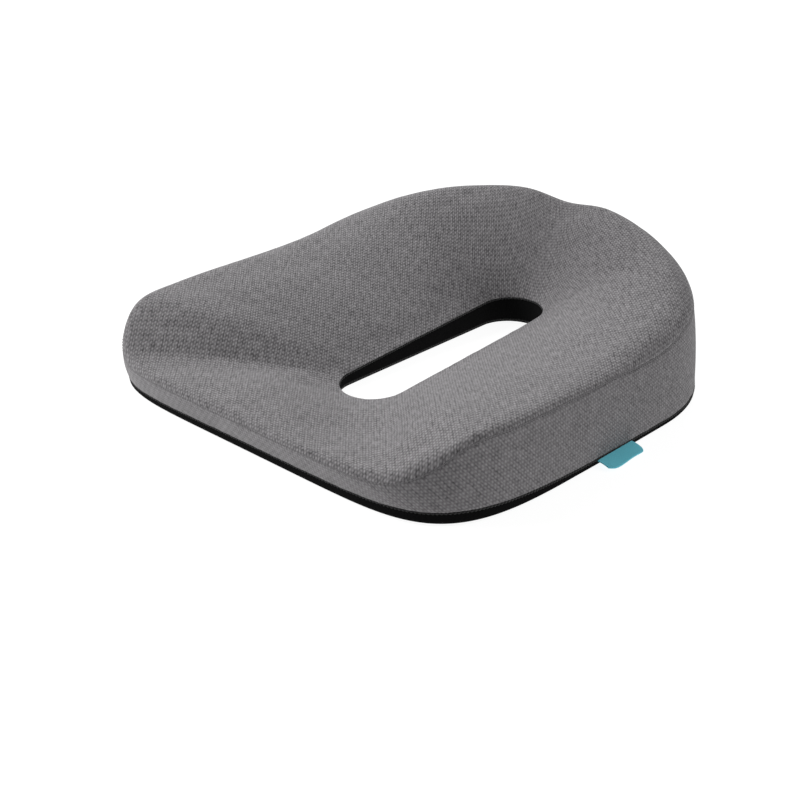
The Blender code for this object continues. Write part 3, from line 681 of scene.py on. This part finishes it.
def edge_roll(distance, depth, width):
    """How far fabric turns in near a seam."""
    return -depth * np.clip(1.0 - distance / width, 0.0, 1.0) ** 2


def panel(name, finish, first, last, rows, thickness, weave_at, shape, span=None):
    """Closed fabric panel between two places of the section, which may vary with the angle.

    shape(angle, place, points, distance, total) gives the outward offset of its face.
    """
    angles = ring_angles(span)
    spread = 0.5 - 0.5 * np.cos(np.linspace(0.0, math.pi, rows))
    start, end = (np.broadcast_to(edge, angles.shape) for edge in (first(angles), last(angles)))
    places = start[:, None] + (end - start)[:, None] * spread[None, :]
    grid = np.broadcast_to(angles[:, None], places.shape)
    points, normals = surface(grid, places), outward(grid, places)
    distance = along_rows(points)
    lift = shape(grid, places, points, distance, distance[:, -1:])
    outer = points + normals * lift[..., None]
    inner = points + normals * (lift - thickness)[..., None]
    loops = np.concatenate([outer, inner[:, ::-1]], axis=1)
    weave = weave_at(grid, points, distance)
    weave = np.concatenate([weave, weave[:, ::-1]], axis=1)
    faces = grid_faces(len(angles), 2 * rows, span is None)
    return mesh_object(name, loops.reshape(-1, 3), faces, finish, weave.reshape(-1, 2))


def puckers(points, distance, reach):
    """Small gathers beside a seam, dying out over the reach."""
    return PUCKER_DEPTH * uneven(points, PUCKER_SIZE, 3.7) * np.exp(-distance / reach)


def top_weave(angle, points, distance):
    inner, outer = slot_outline(angle), outline(angle, SEAM_INSET)
    return inner + unit(outer - inner) * (distance[:, -1:] - distance)[..., None]


def top_shape(angle, place, points, distance, total):
    ease = np.clip(np.minimum(distance, total - distance) / TOP_EASE, 0.0, 1.0)
    broad = (settled(angle, place) + sat_in(points) + unevenness(points, TOP_UNEVENNESS)) * ease
    pull = value_at(SEAM_PULL, angle)
    return (broad + pull * edge_roll(distance, *TOP_ROLL) + edge_roll(total - distance, *RIM_ROLL)
            + pull * puckers(points, distance, 0.006) + puckers(points, total - distance, 0.005))


def band_weave(angle, points, distance):
    middle = surface(angle[:, :1], np.full((len(angle), 1), 1.5))[:, 0]
    lengths = np.concatenate([[0.0], np.cumsum(np.linalg.norm(np.diff(middle, axis=0), axis=-1))])
    return np.stack([np.broadcast_to(lengths[:, None], distance.shape), distance], axis=-1)


def band_shape(angle, place, points, distance, total):
    ease = np.clip(np.minimum(distance, total - distance) / BAND_EASE, 0.0, 1.0)
    near_zip = np.clip((JOIN_ANGLE - np.abs(angle)) / ZIP_EASE_ANGLE, 0.0, 1.0)
    broad = (settled(angle, place) + unevenness(points, BAND_UNEVENNESS)) * ease * near_zip
    pull = value_at(SEAM_PULL, angle)
    return (broad + edge_roll(distance, *FOOT_ROLL) + pull * edge_roll(total - distance, *BAND_ROLL)
            + puckers(points, distance, 0.006) + pull * puckers(points, total - distance, 0.008))


def strip_shape(angle, place, points, distance, total):
    return (edge_roll(distance, *FOOT_ROLL) + edge_roll(total - distance, *STRIP_ROLL)
            + unevenness(points, STRIP_UNEVENNESS))


def plain_shape(angle, place, points, distance, total):
    return edge_roll(distance, *LINING_ROLL) + edge_roll(total - distance, *LINING_ROLL)


def flat_shape(angle, place, points, distance, total):
    return np.zeros(distance.shape)


def at_place(place, trim):
    """Edge of a panel: a distance along the section from a place."""
    return lambda angles: moved(angles, np.full(angles.shape, place), trim)


def at_height(offset):
    """Edge of a rear strip: a height on the band, measured from the zip."""
    def edge(angles):
        foot, head = base_seam_height(angles), value_at(UPPER_SEAM_HEIGHT, angles)
        return 1.0 + (ZIP_HEIGHT + offset - foot) / (head - foot)
    return edge


# ---------------------------------------------------------------- seams
def stitches(name, finish, middle, ahead, normal, phase, radius, rise, sink, closed):
    """Row of stitches along a line: a cord that swells and dips once for each stitch."""
    dip = 0.5 - 0.5 * np.cos(phase)
    thick = radius * (STITCH_NECK + (1.0 - STITCH_NECK) * np.sqrt(dip))
    middle = middle + normal * (dip * rise - sink)[:, None]
    return tube(name, finish, middle, normal, np.cross(ahead, normal), thick, THREAD_SIDES, closed)


def stitched_ring(name, finish, place, wrap, radius, sink):
    """Stitches round the ring, a wrap's distance along the section from a place."""
    coarse = ring_angles()
    centre = surface(coarse, np.full(coarse.shape, place))
    steps = np.linalg.norm(np.roll(centre, -1, axis=0) - centre, axis=-1)
    travelled = np.concatenate([[0.0], np.cumsum(steps)])
    count = round(travelled[-1] / STITCH_PITCH)
    share = np.arange(count * STEPS_PER_STITCH) / (count * STEPS_PER_STITCH)
    angle = np.interp(share * travelled[-1], travelled, np.append(coarse, 360.0))
    places = moved(angle, np.full(angle.shape, place), wrap)
    middle = surface(angle, places)
    normal = unit(outward(angle, places - 0.01) + outward(angle, places + 0.01))
    ahead = unit(np.roll(middle, -1, axis=0) - np.roll(middle, 1, axis=0))
    phase, rise = TURN * share * count, STITCH_RISE * radius
    return stitches(name, finish, middle, ahead, normal, phase, radius, rise, sink, True)


def join_seam(name, finish, angle):
    """Upright row of stitches where a rear strip meets the side band."""
    share = np.linspace(0.0, 1.0, 96)
    places = 1.0 + JOIN_MARGIN + (1.0 - 2.0 * JOIN_MARGIN) * share
    angles = np.full(places.shape, angle)
    middle, normal = surface(angles, places), outward(angles, places)
    ahead = unit(np.gradient(middle, axis=0))
    phase = TURN * share * JOIN_STITCHES
    return stitches(name, finish, middle, ahead, normal, phase, JOIN_RADIUS, JOIN_RISE, JOIN_SINK, False)


# ---------------------------------------------------------------- pieces
def foam_ring():
    """The moulded foam, a little inside the cover."""
    rows = np.concatenate([np.linspace(0.02, 0.98, 30), np.linspace(1.04, 1.96, 18),
                           np.linspace(2.04, 2.93, 44), np.linspace(3.25, 3.75, 6)])
    angles = ring_angles()[::2]
    grid, places = np.meshgrid(angles, rows, indexing="ij")
    points = surface(grid, places)
    depth = np.where(places < 1.0, BASE_THICKNESS + FIT_GAP * 2.0,
                     np.where(places > 3.0, LINING_THICKNESS + FIT_GAP * 2.0, FOAM_DEPTH))
    depth = depth - np.where((places > 2.0) & (places < 3.0), sat_in(points), 0.0)
    points = points - outward(grid, places) * depth[..., None]
    faces = grid_faces(len(angles), len(rows), True)
    ring = mesh_object("foam_ring", points.reshape(-1, 3), faces, foam_material())
    return finished(ring, "cushion", "memory_foam", "foam_core")


def cover():
    knit, side_knit = knit_material("grey_knit", 1.0), knit_material("grey_knit_side", SIDE_CONTRAST)
    base, lining = black_material("black_base", 0.0016, 1.0), black_material("black_lining", 0.0012, 0.9)
    top = panel("cover_top", knit, at_place(2.0, SEAM_TRIM), at_place(3.0, RIM_WRAP - SEAM_TRIM), TOP_ROWS,
                KNIT_THICKNESS, top_weave, top_shape)
    finished(top, "cushion", "grey_knit", "top_panel")
    seam_turn = math.degrees(SEAM_TRIM / np.linalg.norm(outline(JOIN_ANGLE) - np.array([0.0, WIDEST_Y])))
    front_span = (-JOIN_ANGLE + seam_turn, JOIN_ANGLE - seam_turn)
    rear_span = (JOIN_ANGLE + seam_turn, 360.0 - JOIN_ANGLE - seam_turn)
    band = panel("cover_band", side_knit, at_place(1.0, SEAM_TRIM), at_place(2.0, -SEAM_TRIM), BAND_ROWS,
                 KNIT_THICKNESS, band_weave, band_shape, front_span)
    finished(band, "cushion", "grey_knit", "side_band")
    half_opening = TAPE_HALF_WIDTH + FIT_GAP
    upper = panel("cover_strip_upper", side_knit, at_height(half_opening), at_place(2.0, -SEAM_TRIM),
                  STRIP_ROWS, KNIT_THICKNESS, band_weave, strip_shape, rear_span)
    finished(upper, "cushion", "grey_knit", "band_upper_strip")
    lower = panel("cover_strip_lower", side_knit, at_place(1.0, SEAM_TRIM), at_height(-half_opening),
                  STRIP_ROWS, KNIT_THICKNESS, band_weave, strip_shape, rear_span)
    finished(lower, "cushion", "grey_knit", "band_lower_strip")
    wall = panel("slot_wall", lining, at_place(3.0, RIM_WRAP + SEAM_TRIM), at_place(4.0, -SEAM_TRIM),
                 WALL_ROWS, LINING_THICKNESS, band_weave, plain_shape)
    finished(wall, "cushion", "black_lining", "slot_lining")
    bottom = panel("base_cover", base, at_place(0.0, SEAM_TRIM), at_place(1.0, -SEAM_TRIM), BASE_ROWS,
                   BASE_THICKNESS, band_weave, flat_shape)
    finished(bottom, "cushion", "black_base", "base_panel")


def seams():
    grey = thread_material("grey_thread", (0.100, 0.096, 0.100), (0.200, 0.193, 0.199))
    black = thread_material("black_thread", (0.0025, 0.0025, 0.0025), (0.0070, 0.0070, 0.0070))
    for name, finish, slot, node, place, wrap, radius in (
            ("stitches_upper", grey, "grey_thread", "upper_seam", 2.0, 0.0, 0.0009),
            ("stitches_base", black, "black_thread", "base_seam", 1.0, 0.0, 0.0010),
            ("stitches_rim", black, "black_thread", "slot_rim_seam", 3.0, RIM_WRAP, 0.0009),
            ("stitches_slot_foot", black, "black_thread", "slot_base_seam", 4.0, 0.0, 0.0009)):
        finished(stitched_ring(name, finish, place, wrap, radius, STITCH_SINK), "cushion", slot, node)
    for side, word in ((-1.0, "left"), (1.0, "right")):
        seam = join_seam(f"stitches_join_{word}", grey, side * JOIN_ANGLE)
        finished(seam, "cushion", "grey_thread", f"band_join_seam_{word}")


def zip_arc():
    """Centre, radius and end angle of the zip's arc, seen from above."""
    back, join = outline(180.0), outline(JOIN_ANGLE)
    drop = back[1] - join[1]
    radius = (join[0] ** 2 + drop ** 2) / (2.0 * drop)
    tape_end = math.asin(join[0] / radius) - TAPE_END_GAP / (radius - TAPE_RECESS)
    return back[1] - radius, radius - TAPE_RECESS, tape_end


def zip_coils():
    """Two rows of coiled wire that lie side by side along the zip."""
    finish = coil_material()
    centre_y, radius, tape_end = zip_arc()
    end = tape_end - (STOP_LENGTH + FIT_GAP) / radius
    turns = round(2.0 * end * radius / COIL_PITCH)
    share = np.linspace(0.0, 1.0, turns * STEPS_PER_COIL_TURN + 1)
    phase = TURN * turns * share
    along = -end + 2.0 * end * share
    half_width, half_height = 0.5 * COIL_WIDTH - COIL_WIRE, 0.5 * COIL_HEIGHT - COIL_WIRE
    for side, word in ((1.0, "upper"), (-1.0, "lower")):
        out = radius + FIT_GAP + 0.5 * COIL_HEIGHT + half_height * np.cos(phase)
        up = ZIP_HEIGHT + side * (0.5 * FIT_GAP + 0.5 * COIL_WIDTH + half_width * np.sin(phase))
        middle = np.stack([out * np.sin(along), centre_y + out * np.cos(along), up], axis=-1)
        ahead = unit(np.gradient(middle, axis=0))
        level = np.stack([np.cos(along), -np.sin(along), np.zeros_like(along)], axis=-1)
        first = unit(np.cross(ahead, level))
        second = np.cross(ahead, first)
        coil = tube(f"coil_{word}", finish, middle, first, second, COIL_WIRE, COIL_SIDES, False)
        finished(coil, "cushion", "zip_coil", f"zip_coil_{word}")


def zip_metal_and_tapes():
    """The tapes, stops, slider and pull keep their CAD shape and get their finish here."""
    tape, metal = tape_material(), metal_material()
    for name, finish in (("zip_tape_upper", tape), ("zip_tape_lower", tape), ("zip_stop_left", metal),
                         ("zip_stop_right", metal), ("zip_slider", metal), ("zip_pull", metal)):
        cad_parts[name].material_slots[0].material = finish


def label():
    """Folded ribbon: two layers that meet in a soft fold at the outer edge."""
    low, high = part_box("side_tag")
    root_x, middle_z = low.x - ORIGIN.x + 0.0004, (low.z + high.z) / 2.0
    run = np.linspace(0.0, 1.0, 22)
    reach = LABEL_REACH - 0.0012
    upper = np.stack([run * reach, np.full(run.shape, LABEL_LAYER)], axis=-1)
    turn = np.linspace(math.pi / 2, -math.pi / 2, 9)[1:-1]
    bend = np.stack([reach + LABEL_LAYER * 1.2 * np.cos(turn), LABEL_LAYER * np.sin(turn)], axis=-1)
    lower = upper[::-1] * np.array([1.0, -1.0])
    line = np.concatenate([upper, bend, lower])
    ahead = unit(np.gradient(line, axis=0))
    side = np.stack([-ahead[:, 1], ahead[:, 0]], axis=-1) * LABEL_LAYER / 2.0
    profile = np.concatenate([line + side, (line - side)[::-1]])
    lengths = np.concatenate([[0.0], np.cumsum(np.linalg.norm(np.diff(line, axis=0), axis=-1))])
    lengths = np.concatenate([lengths, lengths[::-1]])
    across = np.linspace(-0.5, 0.5, 41)[:, None]
    out = np.clip(profile[None, :, 0] / LABEL_REACH, 0.0, 1.0)
    wave = LABEL_WAVE * np.sin(across * 7.0 + 0.6) * out ** 1.5 - LABEL_DROOP * out ** 2
    rounded_corners = 1.0 - 0.30 * np.abs(across * 2.0) ** 8
    x = root_x + profile[None, :, 0] * rounded_corners
    y = (low.y + high.y) / 2.0 - ORIGIN.y + across * (LABEL_WIDTH - 0.0004)
    z = middle_z + profile[None, :, 1] + wave
    points = np.stack([x, np.broadcast_to(y, x.shape), z], axis=-1)
    weave = np.stack(np.broadcast_arrays(y, lengths[None, :]), axis=-1)
    ribbon = mesh_object("label_ribbon", points.reshape(-1, 3), grid_faces(len(across), len(profile), False),
                         label_material(), weave.reshape(-1, 2))
    return finished(ribbon, "side_tag", "teal_label", "side_tag")


# ---------------------------------------------------------------- studio
CAMERA_AZIMUTH = 42.79         # degrees round from the front
CAMERA_ELEVATION = 23.74
CAMERA_DISTANCE = 1.350
CAMERA_TARGET_HEIGHT = 0.035
CAMERA_LENS = 65.02
CAMERA_SHIFT = (-0.0320, -0.0762)
FLOOR_HALF = 12.0
FLOOR_HEIGHT = -0.0004
FLOOR_GLOW = 0.92
SKY_LIGHT = 0.16               # the sky seen past the floor is white, but lights the object this much
SOFTBOX_DISTANCE = 2.6
SOFTBOX_SIZE = 1.6
SOFTBOXES = (("left", -54.0, 32.0, 68.0),      # name, azimuth, elevation and power
             ("rear", -144.0, 34.0, 34.0),
             ("right", 127.0, 45.0, 26.0))


def towards(azimuth, elevation):
    """Unit vector from the object towards a place at that azimuth and elevation."""
    a, e = math.radians(azimuth), math.radians(elevation)
    return Vector((math.sin(a) * math.cos(e), -math.cos(a) * math.cos(e), math.sin(e)))


def camera():
    lens = bpy.data.cameras.new("camera")
    lens.lens = CAMERA_LENS
    lens.shift_x, lens.shift_y = CAMERA_SHIFT
    lens.clip_end = 100.0
    made = bpy.data.objects.new("camera", lens)
    back = towards(CAMERA_AZIMUTH, CAMERA_ELEVATION)
    made.location = ORIGIN + Vector((0.0, 0.0, CAMERA_TARGET_HEIGHT)) + back * CAMERA_DISTANCE
    made.rotation_mode = "QUATERNION"
    made.rotation_quaternion = (-back).to_track_quat("-Z", "Y")
    bpy.context.collection.objects.link(made)
    bpy.context.scene.camera = made


def softbox(name, azimuth, elevation, power):
    light = bpy.data.lights.new(name, "AREA")
    light.shape = "DISK"
    light.size = SOFTBOX_SIZE
    light.energy = power
    made = bpy.data.objects.new(name, light)
    direction = towards(azimuth, elevation)
    made.location = direction * SOFTBOX_DISTANCE
    made.rotation_mode = "QUATERNION"
    made.rotation_quaternion = direction.to_track_quat("Z", "Y")
    bpy.context.collection.objects.link(made)


def floor():
    nodes = Nodes("floor", 1.0, specular=0.0)
    paper = nodes.noise(nodes.position(), 3.0)
    nodes.colour(nodes.mix(paper, (0.16, 0.16, 0.16), (0.18, 0.18, 0.18)))
    nodes.shader.inputs["Emission Color"].default_value = (1.0, 1.0, 1.0, 1.0)
    nodes.shader.inputs["Emission Strength"].default_value = FLOOR_GLOW
    signs = ((-1, -1), (1, -1), (1, 1), (-1, 1))
    corners = [(x * FLOOR_HALF, y * FLOOR_HALF, FLOOR_HEIGHT) for x, y in signs]
    mesh = bpy.data.meshes.new("floor")
    mesh.from_pydata(corners, [], [(0, 1, 2, 3)])
    mesh.materials.append(nodes.material)
    made = bpy.data.objects.new("floor", mesh)
    bpy.context.collection.objects.link(made)


def sky():
    """White where the camera sees it, and dim where it lights the object."""
    world = bpy.data.worlds.new("studio")
    world.use_nodes = True
    tree = world.node_tree
    dim, bright = tree.nodes["Background"], tree.nodes.new("ShaderNodeBackground")
    ray, blend = tree.nodes.new("ShaderNodeLightPath"), tree.nodes.new("ShaderNodeMixShader")
    for background, strength in ((dim, SKY_LIGHT), (bright, 1.0)):
        background.inputs["Color"].default_value = (1.0, 1.0, 1.0, 1.0)
        background.inputs["Strength"].default_value = strength
    tree.links.new(ray.outputs["Is Camera Ray"], blend.inputs[0])
    tree.links.new(dim.outputs[0], blend.inputs[1])
    tree.links.new(bright.outputs[0], blend.inputs[2])
    tree.links.new(blend.outputs[0], tree.nodes["World Output"].inputs["Surface"])
    bpy.context.scene.world = world


def studio():
    floor()
    sky()
    for name, azimuth, elevation, power in SOFTBOXES:
        softbox(name, azimuth, elevation, power)
    bpy.context.scene.view_settings.view_transform = "Standard"


camera()
foam_ring()
cover()
seams()
zip_coils()
zip_metal_and_tapes()
label()
studio()
